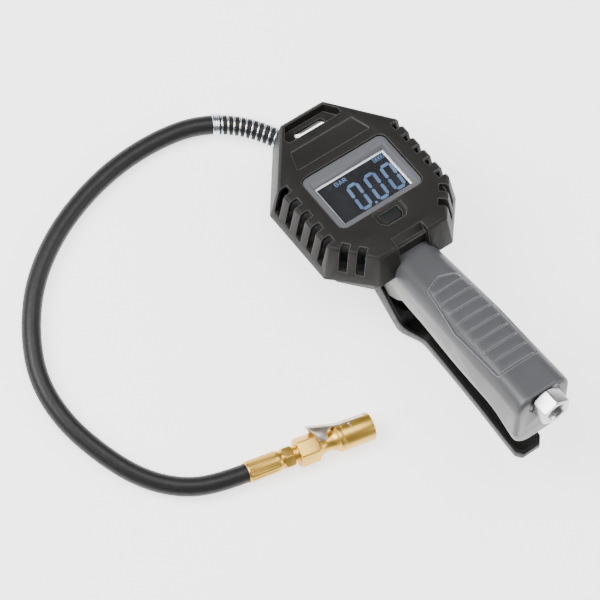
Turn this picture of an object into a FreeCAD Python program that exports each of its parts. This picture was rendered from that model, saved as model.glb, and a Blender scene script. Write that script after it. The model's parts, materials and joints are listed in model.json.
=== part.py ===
import FreeCAD, Part
import math
import os

# Digital tyre inflator with a pressure gauge.
# A booted gauge head sits on a hollow grip.  A long trigger lever under the grip works the air
# valve, and a short rubber hose with a clip-on chuck leaves the head beside its hanging loop.
#
# The tool is modelled in its own axes, in millimetres: X across the display, Y from the grip
# towards the hanging loop, Z out of the display, with 0 at the middle of the display bezel's face.
# At the end the whole tool is laid on its back, touching the ground with the back edge of the
# head and the knee of the trigger.  The ground is Z = 0 and the tool is centred over the origin.

# Gauge head, seen from the front
loop_half, loop_y = 16.5, 65.2
shoulder_half, shoulder_y = 46.6, 26.0
hip_y = -29.0
chin_half, chin_y = 26.2, -53.7
boot_face, boot_rim, boot_draft, boot_wall = 1.0, -27.0, 5.5, 2.6
boot_corner, boot_edge = 2.2, 1.5
chin_rim_y, chin_rim_rise = -31.6, 0.1336
slot_count, slot_pitch, slot_width, slot_depth = 5, 11.45, 5.5, 6.0
slot_first_y, slot_floor = 19.3, -20.5
housing_face, housing_split, housing_back, housing_wall = -2.1, -22.1, -50.0, 2.3
housing_edge, housing_draft = 4.0, 2.0
post_places = [(18.5, 39.5), (31.0, -28.0)]

# Display and electronics
bezel_width, bezel_height, bezel_corner, bezel_depth = 64.4, 45.8, 5.0, 6.0
window_width, window_height, window_y, window_z = 53.4, 32.6, -1.8, -3.0
board_face, board_thick = -10.4, 1.6
button_y = -31.2

# Grip: stations along Y as (y, half width, top, bottom)
grip_stations = [
    (-38.0, 16.2, -13.0, -47.6),
    (-60.0, 17.0, -12.5, -49.0),
    (-85.0, 17.9, -10.0, -48.3),
    (-115.0, 18.9, -7.3, -48.4),
    (-145.0, 19.4, -5.8, -47.8),
    (-166.0, 19.8, -5.2, -48.8),
    (-178.0, 20.2, -5.0, -53.0),
    (-186.0, 20.2, -5.2, -55.0),
]
grip_wall, grip_top_corner, grip_bottom_corner = 2.4, 11.0, 13.0
parting_start, parting_slope, parting_gap = (-60.0, -25.0), -0.128, 0.2
rib_count, rib_first_y, rib_pitch, groove_width, groove_depth = 9, -88.9, 8.8, 1.1, 0.7

# Air path
inlet_z, inlet_face_y, inlet_flats, inlet_length = -13.0, -198.0, 19.0, 11.2
thread_major, thread_minor = 13.157, 11.445
stem_y, stem_radius, stem_tip = -48.0, 2.2, -69.7
pipe_z = -27.5

# Trigger lever
pivot_y, pivot_z, pin_radius = -22.0, -58.0, 2.0
running_gap, clear_gap = 0.05, 0.3
lug_half = 10.5
lever_wall = 2.2
knee_radius = 7.0

# Hose and chuck
hose_diameter, guard_diameter, guard_bore = 12.5, 15.0, 12.9
guard_clearance, union_reach = 1.9, 15.0
chuck_roll = 62.0


def vec(x, y, z):
    return FreeCAD.Vector(x, y, z)


def box(x0, x1, y0, y1, z0, z1):
    return Part.makeBox(x1 - x0, y1 - y0, z1 - z0, vec(x0, y0, z0))


def rod(start, direction, radius, length):
    return Part.makeCylinder(radius, length, vec(*start), vec(*direction))


def mirrored(points):
    """A closed outline that is the same left and right of the Y axis."""
    return points + [(-x, y) for x, y in reversed(points)]


def grown(points, distance):
    """The convex outline with every side moved outwards."""
    area = sum(a[0] * b[1] - b[0] * a[1] for a, b in zip(points, points[1:] + points[:1]))
    side = 1.0 if area > 0 else -1.0
    result = []
    for before, here, after in zip(points[-1:] + points[:-1], points, points[1:] + points[:1]):
        normals = []
        for start, end in ((before, here), (here, after)):
            length = math.hypot(end[0] - start[0], end[1] - start[1])
            normals.append((side * (end[1] - start[1]) / length, side * (start[0] - end[0]) / length))
        (ax, ay), (bx, by) = normals
        scale = distance / (1.0 + ax * bx + ay * by)
        result.append((here[0] + (ax + bx) * scale, here[1] + (ay + by) * scale))
    return result


def rounded_wire(corners, radii):
    """A closed wire through the corners, each one turned by an arc of its own radius."""
    arcs = []
    for before, here, after, radius in zip(corners[-1:] + corners[:-1], corners,
                                           corners[1:] + corners[:1], radii):
        back, ahead = (before - here).normalize(), (after - here).normalize()
        half = back.getAngle(ahead) / 2.0
        reach = radius / math.tan(half)
        inside = (back + ahead).normalize()
        middle = here + inside * (radius / math.sin(half) - radius)
        arcs.append((here + back * reach, middle, here + ahead * reach))
    edges = []
    for (start, middle, end), following in zip(arcs, arcs[1:] + arcs[:1]):
        edges.append(Part.Arc(start, middle, end).toShape())
        if end.distanceToPoint(following[0]) > 1e-4:
            edges.append(Part.makeLine(end, following[0]))
    return Part.Wire(edges)


def outline(points, z, radius=0.0):
    corners = [vec(x, y, z) for x, y in points]
    if radius <= 0:
        return Part.makePolygon(corners + corners[:1])
    return rounded_wire(corners, [radius] * len(corners))


def plate(points, z0, z1, radius=0.0):
    return Part.Face(outline(points, z0, radius)).extrude(vec(0, 0, z1 - z0))


def side_plate(points, half, radii=None):
    """A side view of (y, z) points, made solid from X = -half to X = half."""
    corners = [vec(-half, y, z) for y, z in points]
    wire = rounded_wire(corners, radii) if radii else Part.makePolygon(corners + corners[:1])
    return Part.Face(wire).extrude(vec(2 * half, 0, 0))


def rectangle(width, height, y=0.0):
    return mirrored([(width / 2, y + height / 2), (width / 2, y - height / 2)])


def both_sides(shape):
    return [shape, shape.mirror(vec(0, 0, 0), vec(1, 0, 0))]


def hexagon(start, direction, flats, length, turn=0.0):
    """A hexagonal bar; turn rolls its corners about its own axis, in degrees."""
    radius = flats / math.sqrt(3.0)
    angles = [math.radians(60 * k + turn) for k in range(7)]
    face = Part.Face(Part.makePolygon([vec(radius * math.cos(a), radius * math.sin(a), 0) for a in angles]))
    bar = face.extrude(vec(0, 0, length))
    bar.Placement = FreeCAD.Placement(vec(*start), FreeCAD.Rotation(vec(0, 0, 1), vec(*direction)))
    return bar


def turned_edges(bar, start, direction, radius, length, slope=0.6):
    """A hexagonal bar with its corners turned off at both ends."""
    axis = vec(*direction).normalize()
    cone = Part.makeCone(radius - slope * 1.2, radius, slope, vec(*start), axis)
    middle = rod(vec(*start) + axis * slope, axis, radius, length - 2 * slope)
    end = Part.makeCone(radius, radius - slope * 1.2, slope, vec(*start) + axis * (length - slope), axis)
    return bar.common(cone.fuse([middle, end]))


def coil(start, radius, wire, pitch, turns):
    """A round-wire coil standing along Z."""
    path = Part.Wire(Part.makeHelix(pitch, pitch * turns, radius).Edges)
    section = Part.Wire([Part.makeCircle(wire / 2, vec(radius, 0, 0), vec(0, 1, 0))])
    solid = path.makePipeShell([section], True, True)
    solid.translate(vec(*start))
    return solid


# ---------------------------------------------------------------- gauge head

face_outline = mirrored([(loop_half, loop_y), (shoulder_half, shoulder_y), (shoulder_half, hip_y),
                         (chin_half, chin_y)])
pocket_outline = mirrored([(15.0, 62.8), (21.2, 54.5), (20.5, 50.5)])
front_outline = mirrored([(19.5, 48.0), (40.6, 23.0), (40.6, -26.0), (24.0, -43.0)])
rear_outline = mirrored([(20.0, 50.0), (41.0, 25.0), (41.0, -27.0), (24.0, -47.0)])
button_outline = mirrored([(6.7, button_y + 4.0), (6.9, button_y - 1.0), (5.0, button_y - 4.3)])


def boot_outline(z, inset):
    spread = boot_draft * (boot_face - z) / (boot_face - boot_rim)
    return grown(face_outline, spread - inset)


def boot_slots():
    """Open grip slots: five down each side and two across each lower corner."""
    slots = []
    for k in range(slot_count):
        low = slot_first_y - slot_pitch * k
        slots += both_sides(box(shoulder_half - slot_depth, 60, low, low + slot_width, slot_floor, 5))
    lean = math.degrees(math.atan2(chin_y - hip_y, chin_half - shoulder_half))
    for along in (6.6, 17.8):
        slot = box(along, along + slot_width, -slot_depth, 12, slot_floor + 3.0, 5)
        slot.rotate(vec(0, 0, 0), vec(0, 0, 1), lean)
        slot.translate(vec(shoulder_half, hip_y, 0))
        slots += both_sides(slot)
    return slots


def head_boot(neck):
    outer = Part.makeLoft([outline(boot_outline(boot_rim, 0), boot_rim, boot_corner),
                           outline(boot_outline(boot_face, 0), boot_face, boot_corner)], True, True)
    rim = [edge for edge in outer.Edges if abs(edge.BoundBox.ZMin - boot_face) < 1e-4]
    outer = outer.makeChamfer(boot_edge, rim)
    inner = Part.makeLoft([outline(boot_outline(boot_rim - 1, boot_wall), boot_rim - 1, 1.5),
                           outline(boot_outline(-2.0, boot_wall), -2.0, 1.5)], True, True)
    boot = outer.cut(inner)
    drop = (chin_rim_y + 80) * chin_rim_rise
    boot = boot.cut(side_plate([(chin_rim_y, boot_rim), (-80, boot_rim + drop), (-80, -60),
                                (chin_rim_y, -60)], 60))
    # Solid backing for the hanging pocket and for the step over the grip
    backing = plate(grown(pocket_outline, 2.6), -9.5, -1.8).cut(box(-40, 40, 40, 48.4, -12, -2.0))
    boot = boot.fuse([backing,
                      box(-14, 14, -52.0, -43.4, -7.2, -1.8),
                      box(-14, 14, -54.0, -49.2, -16.0, -1.8)])
    step = side_plate([(-46.3, 2), (-46.3, boot_face), (-49.6, -4.0), (-52.0, -4.0), (-52.0, -30),
                       (-75, -30), (-75, 2)], 11.5)
    cuts = boot_slots() + [
        step, neck,
        plate(pocket_outline, -7.0, 5, 1.5),
        plate(rectangle(23.0, 6.4, 56.2), -12, -6, 3.0),
        plate(rectangle(bezel_width + 0.6, bezel_height + 0.6), -5, 5, bezel_corner + 0.3),
        plate(mirrored([(23.8, 44.0), (28.4, 30.2)]), boot_face - 0.8, 5, 1.0),
        plate(mirrored([(10.6, -24.5), (10.4, -33.0), (7.0, -37.0)]), boot_face - 1.6, 5, 0.8),
        plate(grown(button_outline, clear_gap), -5, 5),
    ]
    return boot.cut(cuts).removeSplitter()


def front_housing(neck):
    shell = plate(front_outline, housing_split + 0.1, housing_face, 2.0)
    shell = shell.cut(plate(grown(front_outline, -housing_wall), housing_split, housing_face - 2.3, 1.0))
    posts = []
    for x, y in post_places:
        post = rod((x, y, housing_split + 0.1), (0, 0, 1), 3.2, 18.0)
        posts += both_sides(post)
    shell = shell.fuse(posts)
    pilots = []
    for x, y in post_places:
        pilots += both_sides(rod((x, y, housing_split), (0, 0, 1), 1.5, 12.0))
    return shell.cut(pilots + [
        neck,
        plate(rectangle(bezel_width + 0.2, bezel_height + 0.2), -5, 0, bezel_corner + 0.1),
        plate(grown(button_outline, clear_gap), -5, 0)])


def rear_housing(neck):
    split = housing_split
    outer = Part.makeLoft([outline(grown(rear_outline, -housing_draft), housing_back, 3.0),
                           outline(rear_outline, split, 3.0)], True, True)
    back = [edge for edge in outer.Edges if abs(edge.BoundBox.ZMax - housing_back) < 1e-4]
    outer = outer.makeFillet(housing_edge - 1.5, back)
    inner = Part.makeLoft([outline(grown(rear_outline, -housing_draft - housing_wall),
                                   housing_back + housing_wall, 1.5),
                           outline(grown(rear_outline, -housing_wall), split + 1, 1.5)], True, True)
    flange = plate(grown(face_outline, 1.7), split - 1.8, split).common(box(-60, 60, -80, 49, -60, 0))
    flange = flange.cut(plate(grown(rear_outline, -1.0), split - 2, split + 1))
    shell = outer.fuse(flange).cut(inner)
    tray = box(-28.5, 28.5, 7.0, 33.0, housing_back + 1, -34.4)
    solids, cuts = [tray], [box(-27.0, 27.0, 8.5, 31.5, housing_back - 1, -35.9), neck]
    for x, y in post_places:
        solids += both_sides(rod((x, y, housing_back + 1), (0, 0, 1), 3.5, split - housing_back - 1))
        cuts += both_sides(rod((x, y, housing_back - 1), (0, 0, 1), 1.7, 40))
        cuts += both_sides(rod((x, y, housing_back - 1), (0, 0, 1), 3.0, 5.0))
    cuts.append(plate(rectangle(61.2, 30.2, 20.0), housing_back - 1, housing_back + 1.3, 2.0))
    return shell.fuse(solids).cut(cuts)


def battery_cover():
    lid = plate(rectangle(60.8, 29.8, 20.0), housing_back, housing_back + 1.2, 1.8)
    lip = plate(rectangle(53.6, 22.6, 20.0), housing_back + 1.2, housing_back + 2.2, 1.0)
    grooves = [box(-9, 9, y, y + 0.8, housing_back - 1, housing_back + 0.4) for y in (9, 11, 13)]
    return lid.fuse(lip).cut(grooves)


def display_bezel():
    ring = plate(rectangle(bezel_width, bezel_height), -bezel_depth, 0, bezel_corner)
    edges = [edge for edge in ring.Edges if abs(edge.BoundBox.ZMin) < 1e-4]
    ring = ring.makeFillet(0.7, edges)
    wide = rectangle(window_width + 3.6, window_height + 3.6, window_y + 0.3)
    slope = Part.makeLoft([outline(rectangle(window_width, window_height, window_y), window_z),
                           outline(wide, 0.05)], True, True)
    through = plate(rectangle(window_width, window_height, window_y), -8, window_z)
    seat = plate(rectangle(57.0, 36.0, window_y), -8, window_z - 0.9)
    return ring.cut([slope, through, seat])


def display_lens():
    return plate(rectangle(56.8, 35.8, window_y), window_z - 2.0, window_z - 0.95, 0.5)


def lcd_frame():
    frame = plate(rectangle(55.4, 34.6, window_y), board_face, -5.1)
    return frame.cut([plate(rectangle(51.4, 30.6, window_y), -8, -4),
                      plate(rectangle(54.4, 33.6, window_y), board_face - 1, -5.7)])


def lcd_panel():
    return plate(rectangle(54.2, 33.4, window_y), -8.4, -5.8)


def backlight():
    return plate(rectangle(54.2, 33.4, window_y), board_face + 0.05, -8.45)


def circuit_board():
    return plate(rectangle(54.0, 65.0, -4.5), board_face - board_thick, board_face, 1.0)


def switch():
    body = box(-3.0, 3.0, button_y - 4.0, button_y + 2.0, board_face, -7.4)
    return body.fuse(rod((0, button_y - 1.0, -7.4), (0, 0, 1), 1.6, 0.5))


def mode_button():
    cap = plate(button_outline, -2.6, -0.4)
    cap = cap.makeChamfer(0.4, [e for e in cap.Edges if abs(e.BoundBox.ZMin + 0.4) < 1e-4])
    flange = plate(grown(button_outline, 0.9), -5.6, -4.75)
    stalk = plate(grown(button_outline, -0.6), -4.75, -2.6)
    return cap.fuse([flange, stalk])


def pressure_sensor():
    low = board_face - board_thick
    body = box(-5.0, 5.0, -23.0, -13.0, low - 5.0, low)
    barb = rod((0, -18.0, low - 9.0), (0, 0, 1), 1.6, 4.0)
    ring = Part.makeCone(1.6, 2.1, 1.2, vec(0, -18.0, low - 9.0))
    return body.fuse([barb, ring])


def sensor_tube():
    low = board_face - board_thick
    tube = rod((0, -18.0, pipe_z + 3.6), (0, 0, 1), 3.2, low - 5.2 - pipe_z - 3.6)
    return tube.cut(rod((0, -18.0, pipe_z), (0, 0, 1), 2.15, 30))


def battery(y):
    cell = rod((-22.0, y, -41.3), (1, 0, 0), 5.2, 43.6)
    cell = cell.makeFillet(0.6, [e for e in cell.Edges if len(e.Vertexes) == 1])
    return cell.fuse(rod((21.6, y, -41.3), (1, 0, 0), 1.9, 0.9))


def battery_contacts():
    parts = []
    for y in (14.2, 25.8):
        spring = Part.makeCone(4.0, 2.0, 3.3, vec(-26.4, y, -41.3), vec(1, 0, 0))
        parts.append(box(-26.95, -26.4, y - 4.5, y + 4.5, -46, -36.5).fuse(spring))
        bump = rod((23.2, y, -41.3), (1, 0, 0), 2.2, 3.3)
        parts.append(box(26.4, 26.95, y - 4.5, y + 4.5, -46, -36.5).fuse(bump))
    return Part.makeCompound(parts)


def screw(x, y, head_z, length, head_radius=2.8):
    """A cross-head screw driven upwards from the back, its head's face at head_z."""
    body = rod((x, y, head_z), (0, 0, 1), head_radius, 1.8)
    body = body.makeFillet(0.5, [e for e in body.Edges if abs(e.BoundBox.ZMax - head_z) < 1e-4])
    body = body.fuse(rod((x, y, head_z + 1.8), (0, 0, 1), 1.45, length))
    cross = [box(x - 1.6, x + 1.6, y - 0.35, y + 0.35, head_z - 1, head_z + 0.9),
             box(x - 0.35, x + 0.35, y - 1.6, y + 1.6, head_z - 1, head_z + 0.9)]
    return body.cut(cross)


def housing_screws():
    screws = []
    for x, y in post_places:
        screws += [screw(x, y, housing_back + 2.2, 30.0), screw(-x, y, housing_back + 2.2, 30.0)]
    return Part.makeCompound(screws)


# ---------------------------------------------------------------- grip

def grip_section(station, inset):
    y, half, top, bottom = station
    half, top, bottom = half - inset, top - inset, bottom + inset
    corners = [vec(half, y, top), vec(half, y, bottom), vec(-half, y, bottom), vec(-half, y, top)]
    upper, lower = grip_top_corner - inset, grip_bottom_corner - inset
    return rounded_wire(corners, [upper, lower, lower, upper])


def grip_solid(inset, first=None, last=None):
    stations = [(y + (first or 0) if k == 0 else y + (last or 0) if k == len(grip_stations) - 1 else y,
                 half, top, bottom) for k, (y, half, top, bottom) in enumerate(grip_stations)]
    return Part.makeLoft([grip_section(station, inset) for station in stations], True, False)


def parting_z(y):
    return parting_start[1] + parting_slope * (parting_start[0] - y)


def above_parting(offset):
    return side_plate([(-30, parting_z(-30) + offset), (-30, 20), (-200, 20),
                       (-200, parting_z(-200) + offset)], 40)


def below_parting(offset):
    return side_plate([(-30, parting_z(-30) + offset), (-30, -90), (-200, -90),
                       (-200, parting_z(-200) + offset)], 40)


def grip_grooves(outer):
    """The outline groove of the grip pad and the ribs across it, all of one depth."""
    skin = outer.cut(grip_solid(groove_depth, last=2))
    pad = [(-11.5, -84.0), (0.0, -79.5), (11.5, -84.0), (16.8, -118.0), (15.6, -161.0), (-15.6, -161.0),
           (-16.8, -118.0)]
    pad = [(x, y) for x, y in reversed(pad)]
    ring = plate(pad, -14, 2, 2.5).cut(plate(grown(pad, -groove_width), -20, 5, 1.6))
    tools = [ring]
    for k in range(rib_count):
        y = rib_first_y - rib_pitch * k
        half = 12.4 if 0 < k < rib_count - 1 else 11.0
        tools.append(box(-half, half, y - groove_width, y, -13, 2))
    return skin.common(tools[0].fuse(tools[1:]))


def grip_outer():
    outer = grip_solid(0)
    end = [edge for edge in outer.Edges if abs(edge.BoundBox.YMax + 186.0) < 1e-3]
    return outer.makeFillet(3.0, end)


screw_places = [(8.5, -96.0), (-8.5, -128.0), (8.5, -160.0)]


def grip_posts(half_space, inside):
    posts = [rod((x, y, -60), (0, 0, 1), 3.4, 60) for x, y in screw_places]
    return posts[0].fuse(posts[1:]).common(half_space).common(inside)


def handle_upper_shell(outer, cavity, filled):
    shell = outer.cut(cavity).cut(grip_grooves(outer)).common(above_parting(parting_gap / 2))
    shell = shell.fuse(grip_posts(above_parting(parting_gap / 2), filled))
    cuts = [valve_pocket()] + [rod((x, y, -60), (0, 0, 1), 1.5, 49) for x, y in screw_places]
    cuts.append(rod((0, -200, inlet_z), (0, 1, 0), 6.1, 30))
    cuts.append(rod((0, -200, inlet_z), (0, 1, 0), 12.0, 15.2))
    return shell.cut(cuts)


def lug_profile():
    """The valve nose under the neck, running forward to the trigger's pivot."""
    return [(-12.0, -51.2), (-46.0, -51.2), (-48.5, -46.8), (-69.0, -46.6), (-62.5, -52.0),
            (-53.0, -61.8), (-44.0, -67.6), (-36.0, -69.0), (-17.0, -62.4), (-12.0, -57.5)]


def handle_lower_shell(outer, cavity, filled):
    shell = outer.cut(cavity).common(below_parting(-parting_gap / 2))
    shell = shell.fuse(grip_posts(below_parting(-parting_gap / 2), filled))
    lug = side_plate(lug_profile(), lug_half)
    shell = shell.fuse(lug)
    cuts = [rod((0, stem_y, -80), (0, 0, 1), stem_radius + 0.4, 40),
            rod((0, stem_y, -80), (0, 0, 1), 5.3, 15.5), valve_pocket(),
            rod((-20, pivot_y, pivot_z), (1, 0, 0), pin_radius + 0.01, 40)]
    for x, y in screw_places:
        cuts.append(rod((x, y, -60), (0, 0, 1), 1.7, 50))
        cuts.append(rod((x, y, -60), (0, 0, 1), 3.0, 60 + screw_seat(y)))
    return shell.cut(cuts)


def screw_seat(y):
    """Height of the shoulder that a grip screw's head pulls against."""
    return parting_z(y) - 6.0


def handle_screws():
    return Part.makeCompound([screw(x, y, screw_seat(y) - 1.8, 13.0) for x, y in screw_places])


def inlet_adaptor():
    start = (0, inlet_face_y, inlet_z)
    bar = hexagon(start, (0, 1, 0), inlet_flats, inlet_length, 30.0)
    bar = turned_edges(bar, start, (0, 1, 0), 10.75, inlet_length)
    bar = bar.fuse(rod((0, inlet_face_y + inlet_length, inlet_z), (0, 1, 0), 6.0, 15.0))
    bore = [rod((0, inlet_face_y - 1, inlet_z), (0, 1, 0), thread_minor / 2, 10.5),
            Part.makeCone(thread_major / 2 + 0.4, thread_minor / 2, 1.3, vec(0, inlet_face_y, inlet_z),
                          vec(0, 1, 0)),
            rod((0, inlet_face_y, inlet_z), (0, 1, 0), 3.6, 40)]
    for k in range(6):
        groove = Part.makeTorus(thread_minor / 2, 0.35, vec(0, inlet_face_y + 2.0 + 1.337 * k, inlet_z),
                                vec(0, 1, 0))
        bore.append(groove)
    return bar.cut(bore)


def inlet_filter():
    start = inlet_face_y + 11.5
    return rod((0, start, inlet_z), (0, 1, 0), 3.55, 3.0)


def inlet_seal():
    return Part.makeTorus(7.1, 0.9, vec(0, inlet_face_y + inlet_length + 1.0, inlet_z), vec(0, 1, 0))


def supply_pipe():
    start, end = vec(0, inlet_face_y + inlet_length + 15.1, inlet_z), vec(0, -60.1, pipe_z)
    along = end - start
    pipe = Part.makeCylinder(4.0, along.Length, start, along)
    pipe = pipe.cut(Part.makeCylinder(2.6, along.Length, start, along))
    trim = [box(-9, 9, start.y - 5, start.y + 0.5, -40, 0), box(-9, 9, end.y - 0.5, end.y + 5, -40, 0)]
    return pipe.cut(trim)


def valve_pocket():
    """Room in both grip shells for the valve block and its cap."""
    return box(-8.6, 8.6, -60.1, -37.0, -45.1, -17.9).fuse(rod((0, stem_y, -18.0), (0, 0, 1), 7.6, 3.0))


def valve_block():
    block = box(-8.5, 8.5, -60.0, -39.0, -45.0, -18.0)
    block = block.makeFillet(1.0, [e for e in block.Edges if e.BoundBox.ZLength > 20])
    return block.cut([rod((0, stem_y, -50), (0, 0, 1), stem_radius + running_gap, 20),
                      rod((0, stem_y, -40.5), (0, 0, 1), 4.6, 30),
                      rod((0, -70, pipe_z), (0, 1, 0), 2.6, 18),
                      rod((0, stem_y, pipe_z), (0, 1, 0), 2.0, 20)])


def valve_stem():
    stem = rod((0, stem_y, stem_tip), (0, 0, 1), stem_radius, -36.0 - stem_tip)
    stem = stem.makeFillet(0.6, [e for e in stem.Edges if abs(e.BoundBox.ZMax - stem_tip) < 1e-4])
    return stem.fuse(rod((0, stem_y, -38.6), (0, 0, 1), 4.1, 2.6))


def valve_seat_seal():
    ring = rod((0, stem_y, -40.5), (0, 0, 1), 4.5, 1.2)
    return ring.cut(rod((0, stem_y, -41), (0, 0, 1), stem_radius + clear_gap, 3))


def valve_spring():
    return coil((0, stem_y, -35.5), 3.2, 0.7, 2.0, 6.0)


def valve_cap():
    plug = rod((0, stem_y, -22.0), (0, 0, 1), 4.5, 4.1)
    head = hexagon((0, stem_y, -17.9), (0, 0, 1), 10.0, 2.2)
    return plug.fuse(head)


def pipe_along(points, radius, bend):
    """A round pipe along straight runs with arcs of one radius between them."""
    corners = [vec(*p) for p in points]
    edges, here = [], corners[0]
    for before, corner, after in zip(corners, corners[1:], corners[2:]):
        back, ahead = (before - corner).normalize(), (after - corner).normalize()
        half = back.getAngle(ahead) / 2.0
        reach = bend / math.tan(half)
        inside = (back + ahead).normalize()
        start, end = corner + back * reach, corner + ahead * reach
        edges.append(Part.makeLine(here, start))
        edges.append(Part.Arc(start, corner + inside * (bend / math.sin(half) - bend), end).toShape())
        here = end
    edges.append(Part.makeLine(here, corners[-1]))
    path = Part.Wire(edges)
    section = Part.Wire([Part.makeCircle(radius, corners[0], corners[1] - corners[0])])
    return path.makePipeShell([section], True, False)


def air_tube():
    tube = pipe_along([(0, -38.9, pipe_z), (0, 18, pipe_z), (7.2, 41.0, pipe_z - 1.0),
                       (7.2, 41.0, -36.4)], 2.5, 4.0)
    return tube.fuse(rod((0, -18.0, pipe_z), (0, 0, 1), 3.2, 3.5))


# ---------------------------------------------------------------- trigger

lever_floor = [(-13.0, -63.0), (-18.0, -66.5), (-31.8, -73.6), (-58.0, -90.2), (-80.5, -77.6),
               (-109.5, -78.9), (-140.0, -82.0), (-167.0, -86.4), (-181.0, -88.8)]
lever_rail = [(-181.0, -82.8), (-167.0, -80.4), (-140.0, -75.9), (-110.0, -72.5), (-84.0, -70.4),
              (-68.0, -78.0), (-60.0, -79.6), (-41.0, -64.4), (-30.0, -54.6), (-13.0, -53.6)]
lever_plan = mirrored([(13.0, -12.0), (13.0, -64.0), (10.8, -84.0), (10.4, -168.0), (10.0, -176.5),
                       (6.2, -181.2)])


def lever_radii():
    floor = [2.0, 6.0, 12.0, knee_radius, 9.0, 20.0, 20.0, 20.0, 1.5]
    rail = [1.5, 20.0, 20.0, 20.0, 9.0, 5.0, 4.0, 8.0, 5.0, 2.0]
    return floor + rail


def trigger_lever():
    body = side_plate(lever_floor + lever_rail, 20.0, lever_radii())
    body = body.common(plate(lever_plan, -120, 0))
    floor = 2.4
    inner = [(y, z + floor) for y, z in lever_floor[1:-1]]
    inner = [(-5.0, -58.5)] + inner + [(-178.8, -86.1), (-178.8, -40), (-5.0, -40)]
    radii = [0.5, 4.0, 10.0, knee_radius - floor, 10.0, 20.0, 20.0, 20.0, 0.5, 1, 1]
    hollow = side_plate(inner, 20.0, radii)
    hollow = hollow.common(plate(grown(lever_plan, -lever_wall), -120, 0).fuse(
        box(-13.0 + lever_wall, 13.0 - lever_wall, -20, -5, -120, 0)))
    striker = rod((0, stem_y, -92), (0, 0, 1), 4.5, 22.0)
    under = side_plate([(-31.8, -72.6), (-58.0, -89.2), (-58.0, -120), (-31.8, -120)], 20)
    lever = body.cut(hollow).fuse(striker.cut(under))
    lever = lever.cut(rod((-20, pivot_y, pivot_z), (1, 0, 0), pin_radius + running_gap, 40))
    return lever


def pivot_pin():
    pin = rod((-14.6, pivot_y, pivot_z), (1, 0, 0), pin_radius, 29.2)
    pin = pin.makeChamfer(0.4, [e for e in pin.Edges if len(e.Vertexes) == 1])
    grooves = []
    for x in (-13.95, 13.35):
        ring = rod((x, pivot_y, pivot_z), (1, 0, 0), 3.0, 0.6)
        grooves.append(ring.cut(rod((x, pivot_y, pivot_z), (1, 0, 0), 1.5, 0.6)))
    return pin.cut(grooves)


def pivot_clips():
    clips = []
    for x in (-13.9, 13.4):
        clip = rod((x, pivot_y, pivot_z), (1, 0, 0), 3.6, 0.5)
        clip = clip.cut(rod((x - 1, pivot_y, pivot_z), (1, 0, 0), 1.52, 3))
        clips.append(clip.cut(box(x - 1, x + 2, pivot_y - 1.2, pivot_y + 1.2, pivot_z - 5, pivot_z)))
    return Part.makeCompound(clips)


# ---------------------------------------------------------------- lying on the ground

def corner_centre(points, index, radius):
    """Centre of the arc that rounds one corner of a (y, z) outline."""
    here = vec(0, *points[index])
    back = (vec(0, *points[index - 1]) - here).normalize()
    ahead = (vec(0, *points[index + 1]) - here).normalize()
    return here + (back + ahead).normalize() * (radius / math.sin(back.getAngle(ahead) / 2.0))


def rest_tilt():
    """The turn about X that brings the head's back edge and the trigger's knee level."""
    edge_radius = housing_edge - 1.5
    head = vec(0, rear_outline[0][1] - housing_draft - edge_radius, housing_back + edge_radius)
    knee = corner_centre(lever_floor, 3, knee_radius)
    across, rise = head.y - knee.y, head.z - knee.z
    reach = math.hypot(across, rise)
    return math.acos((edge_radius - knee_radius) / reach) - math.atan2(across, rise)


# ---------------------------------------------------------------- hose and chuck

# The hose's route from the outlet to the chuck: X and Y in the plan of the lying tool, measured
# from the bezel's middle, and the height of the hose's middle above the ground.
hose_route = [
    (-1.5, 42.5, 9.4), (-12.5, 61.6, 9.4), (-29.5, 81.5, 8.5), (-53.0, 95.3, 7.4),
    (-80.5, 99.8, 6.7), (-111.5, 98.8, 6.4), (-142.5, 91.8, 6.4), (-173.0, 79.0, 6.4),
    (-200.0, 59.5, 6.4), (-219.5, 34.0, 6.4), (-231.5, 6.0, 6.4), (-232.0, -24.0, 6.4),
    (-224.1, -52.1, 6.4), (-212.3, -77.5, 6.4), (-195.9, -96.4, 7.4), (-175.1, -108.4, 9.5),
    (-152.5, -112.8, 9.5),
]
guard_points = 3


def hose_edges(points):
    """Straight runs joined by tangent arcs, each as large as its two runs allow."""
    edges, here, radii = [], points[0], []
    for before, corner, after in zip(points, points[1:], points[2:]):
        back, ahead = before - corner, after - corner
        reach = 0.45 * min(back.Length, ahead.Length)
        back.normalize()
        ahead.normalize()
        half = back.getAngle(ahead) / 2.0
        radius = reach * math.tan(half)
        radii.append(radius)
        start, end = corner + back * reach, corner + ahead * reach
        middle = corner + (back + ahead).normalize() * (radius / math.sin(half) - radius)
        edges.append(Part.LineSegment(here, start).toShape())
        edges.append(Part.Arc(start, middle, end).toShape())
        here = end
    edges.append(Part.LineSegment(here, points[-1]).toShape())
    return edges, radii


def swept(edges, radius):
    first = edges[0]
    start, ahead = first.valueAt(first.FirstParameter), first.tangentAt(first.FirstParameter)
    section = Part.Wire([Part.makeCircle(radius, start, ahead)])
    return Part.Wire(edges).makePipeShell([section], True, False)


def hose(edges):
    return swept(edges, hose_diameter / 2)


def spring_guard(edges):
    covered = edges[:2 * guard_points - 1]
    return swept(covered, guard_diameter / 2).cut(swept(covered, guard_bore / 2))


def boot_arch(points):
    """The arch in the boot's rim that the guarded hose leaves through."""
    return rod(tuple(points[0]), tuple(points[1] - points[0]), guard_diameter / 2 + guard_clearance, 34.0)


def round_bar(stations):
    """A turned bar along Z from (distance, radius) stations."""
    profile = [vec(0, 0, stations[0][0])] + [vec(r, 0, s) for s, r in stations]
    profile.append(vec(0, 0, stations[-1][0]))
    return Part.Face(Part.makePolygon(profile + profile[:1])).revolve(vec(0, 0, 0), vec(0, 0, 1), 360)


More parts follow.
